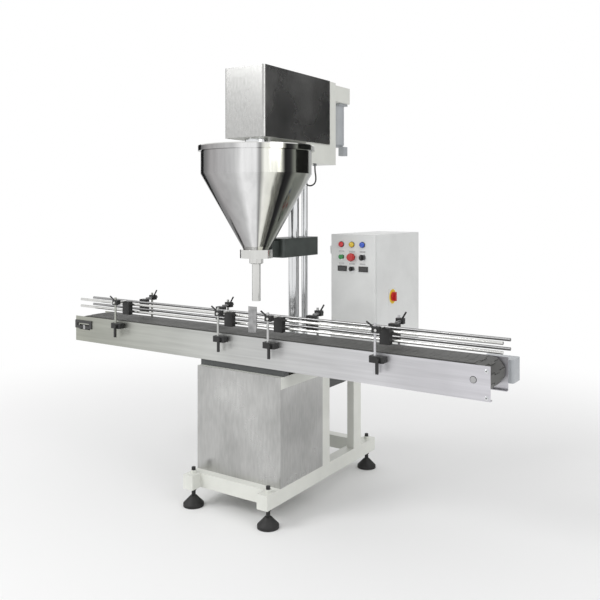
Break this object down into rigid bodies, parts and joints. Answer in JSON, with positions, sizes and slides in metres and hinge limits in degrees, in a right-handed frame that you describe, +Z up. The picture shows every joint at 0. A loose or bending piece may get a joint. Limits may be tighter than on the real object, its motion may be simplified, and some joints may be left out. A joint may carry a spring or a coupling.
{
  "type": "auger powder filler",
  "caption": "Pillar-mounted auger filler: conical hopper, screw nozzle, slat conveyor with guide rails, cabinet base and side control box.",
  "frame": {"origin": "on the floor, at the middle of the machine's box", "axes": "+X along the conveyor towards its discharge end, +Y to the rear, +Z up"},
  "size_m": [2.5, 1.1019, 2.157],
  "materials": {
    "frame_white": "satin ivory white paint",
    "beam_dark": "dark paint",
    "chrome_bar": "polished chrome",
    "brushed": "brushed stainless steel",
    "polished": "mirror polished stainless steel",
    "conveyor_steel": "satin stainless steel",
    "slat_steel": "dark worn acetal",
    "strip_plastic": "white low-friction plastic",
    "clamp_black": "black moulded nylon",
    "bearing_dark": "dark cast housing",
    "motor_grey": "light grey enamel",
    "machine_steel": "turned steel",
    "arm_green": "dark green-grey hammered paint",
    "box_white": "white powder coat",
    "instrument": "lamp lenses and dark displays",
    "button_green": "green",
    "button_red": "red",
    "knob_black": "black",
    "pad_rubber": "black rubber and nylon foot",
    "belt_rubber": "black timing belt",
    "cable_black": "black cable sheath",
    "sensor_grey": "grey sensor housing"
  },
  "bodies": {
    "machine": {"base_frame": "frame_white", "pillar_beam": "beam_dark", "pillars": "chrome_bar", "cabinet_shell": "brushed", "cabinet_front_panel": "brushed", "conveyor_saddles": "beam_dark", "conveyor_side_plates": "conveyor_steel", "conveyor_cross_ties": "machine_steel", "wear_strips": "strip_plastic", "slat_chain": "slat_steel", "conveyor_bearings": "bearing_dark", "take_up_plates": "bearing_dark", "drive_gearmotor": "motor_grey", "guide_posts": "conveyor_steel", "guide_clamps": "clamp_black", "control_box_shell": "box_white", "control_box_bracket": "frame_white"},
    "head": {"head_cover": "brushed", "head_block": "frame_white", "head_back_plate": "frame_white", "belt_housing": "frame_white", "auger_motor": "motor_grey", "drive_belt": "belt_rubber", "agitator_gearbox": "motor_grey", "spindle_housing": "chrome_bar", "hopper_arm": "arm_green", "hopper": "polished", "hopper_lid": "polished", "hopper_collar": "polished", "fill_tube": "polished", "tube_nut": "polished", "level_sensor": "sensor_grey", "level_cable": "cable_black"},
    "auger": {"auger": "polished", "auger_pulley": "machine_steel"},
    "agitator": {"agitator": "polished"},
    "motor_shaft": {"motor_pulley": "machine_steel"},
    "lid_hatch": {"lid_hatch": "polished"},
    "drive_shaft": {"drive_shaft": "machine_steel"},
    "tail_shaft": {"tail_shaft": "machine_steel"},
    "front_guide": {"front_guide_bars": "polished", "front_guide_blocks": "clamp_black", "sensor_bracket": "conveyor_steel"},
    "rear_guide": {"rear_guide_bars": "conveyor_steel", "rear_guide_blocks": "clamp_black"},
    "control_door": {"control_door": "box_white", "door_instruments": "instrument"},
    "start_button": {"start_button": "button_green"},
    "stop_button": {"stop_button": "button_red"},
    "speed_knob": {"speed_knob": "knob_black"},
    "selector_switch": {"selector_switch": "knob_black"},
    "isolator_switch": {"isolator_switch": "button_red"},
    "foot_front_left": {"foot_front_left": "pad_rubber"},
    "foot_front_right": {"foot_front_right": "pad_rubber"},
    "foot_rear_left": {"foot_rear_left": "pad_rubber"},
    "foot_rear_right": {"foot_rear_right": "pad_rubber"},
    "clamp_lever_1": {"clamp_lever_1": "clamp_black"},
    "clamp_lever_2": {"clamp_lever_2": "clamp_black"},
    "clamp_lever_3": {"clamp_lever_3": "clamp_black"},
    "clamp_lever_4": {"clamp_lever_4": "clamp_black"}
  },
  "joints": [
    {"name": "head_slide", "type": "slide", "parent": "machine", "child": "head", "axis": [0, 0, 1], "range_m": [-0.05, 0.1]},
    {"name": "auger_spin", "type": "hinge", "parent": "head", "child": "auger", "pos_m": [-0.009, -0.263, 1.5], "axis": [0, 0, 1], "continuous": true},
    {"name": "agitator_spin", "type": "hinge", "parent": "head", "child": "agitator", "pos_m": [-0.009, -0.263, 1.7], "axis": [0, 0, 1], "continuous": true},
    {"name": "motor_spin", "type": "hinge", "parent": "head", "child": "motor_shaft", "pos_m": [-0.009, 0.495, 2.1], "axis": [0, 0, 1], "continuous": true},
    {"name": "hatch_hinge", "type": "hinge", "parent": "head", "child": "lid_hatch", "pos_m": [-0.15, -0.263, 1.78], "axis": [0, 1, 0], "range_deg": [0, 90]},
    {"name": "drive_spin", "type": "hinge", "parent": "machine", "child": "drive_shaft", "pos_m": [1.15, -0.263, 0.79], "axis": [0, 1, 0], "continuous": true},
    {"name": "tail_spin", "type": "hinge", "parent": "machine", "child": "tail_shaft", "pos_m": [-1.15, -0.263, 0.79], "axis": [0, 1, 0], "continuous": true},
    {"name": "front_guide_slide", "type": "slide", "parent": "machine", "child": "front_guide", "axis": [0, 1, 0], "range_m": [-0.015, 0.015]},
    {"name": "rear_guide_slide", "type": "slide", "parent": "machine", "child": "rear_guide", "axis": [0, -1, 0], "range_m": [-0.015, 0.015]},
    {"name": "door_hinge", "type": "hinge", "parent": "machine", "child": "control_door", "pos_m": [0.243, 0.041, 1.04], "axis": [0, 0, -1], "range_deg": [0, 42]},
    {"name": "start_press", "type": "slide", "parent": "control_door", "child": "start_button", "axis": [0, 1, 0], "range_m": [0, 0.004], "stiffness_N_per_m": 400},
    {"name": "stop_press", "type": "slide", "parent": "control_door", "child": "stop_button", "axis": [0, 1, 0], "range_m": [0, 0.004], "stiffness_N_per_m": 600},
    {"name": "speed_turn", "type": "hinge", "parent": "control_door", "child": "speed_knob", "pos_m": [0.431, 0.02, 1.223], "axis": [0, -1, 0], "range_deg": [-135, 135]},
    {"name": "selector_turn", "type": "hinge", "parent": "control_door", "child": "selector_switch", "pos_m": [0.371, 0.02, 1.165], "axis": [0, -1, 0], "range_deg": [-45, 45]},
    {"name": "isolator_turn", "type": "hinge", "parent": "machine", "child": "isolator_switch", "pos_m": [0.505, 0.212, 1.017], "axis": [1, 0, 0], "range_deg": [0, 90]},
    {"name": "foot_front_left_level", "type": "slide", "parent": "machine", "child": "foot_front_left", "axis": [0, 0, -1], "range_m": [0, 0.025]},
    {"name": "foot_rear_left_level", "type": "slide", "parent": "machine", "child": "foot_rear_left", "axis": [0, 0, -1], "range_m": [0, 0.025]},
    {"name": "foot_front_right_level", "type": "slide", "parent": "machine", "child": "foot_front_right", "axis": [0, 0, -1], "range_m": [0, 0.025]},
    {"name": "foot_rear_right_level", "type": "slide", "parent": "machine", "child": "foot_rear_right", "axis": [0, 0, -1], "range_m": [0, 0.025]},
    {"name": "lever_1_turn", "type": "hinge", "parent": "machine", "child": "clamp_lever_1", "pos_m": [-0.845, -0.42, 0.827], "axis": [0, 1, 0], "range_deg": [-80, 80]},
    {"name": "lever_2_turn", "type": "hinge", "parent": "machine", "child": "clamp_lever_2", "pos_m": [-0.121, -0.42, 0.827], "axis": [0, 1, 0], "range_deg": [-80, 80]},
    {"name": "lever_3_turn", "type": "hinge", "parent": "machine", "child": "clamp_lever_3", "pos_m": [0.182, -0.42, 0.827], "axis": [0, 1, 0], "range_deg": [-80, 80]},
    {"name": "lever_4_turn", "type": "hinge", "parent": "machine", "child": "clamp_lever_4", "pos_m": [0.746, -0.42, 0.827], "axis": [0, 1, 0], "range_deg": [-80, 80]}
  ],
  "couplings": [
    {"joint": "motor_spin", "follows": "auger_spin", "ratio": 1},
    {"joint": "tail_spin", "follows": "drive_spin", "ratio": 1}
  ]
}
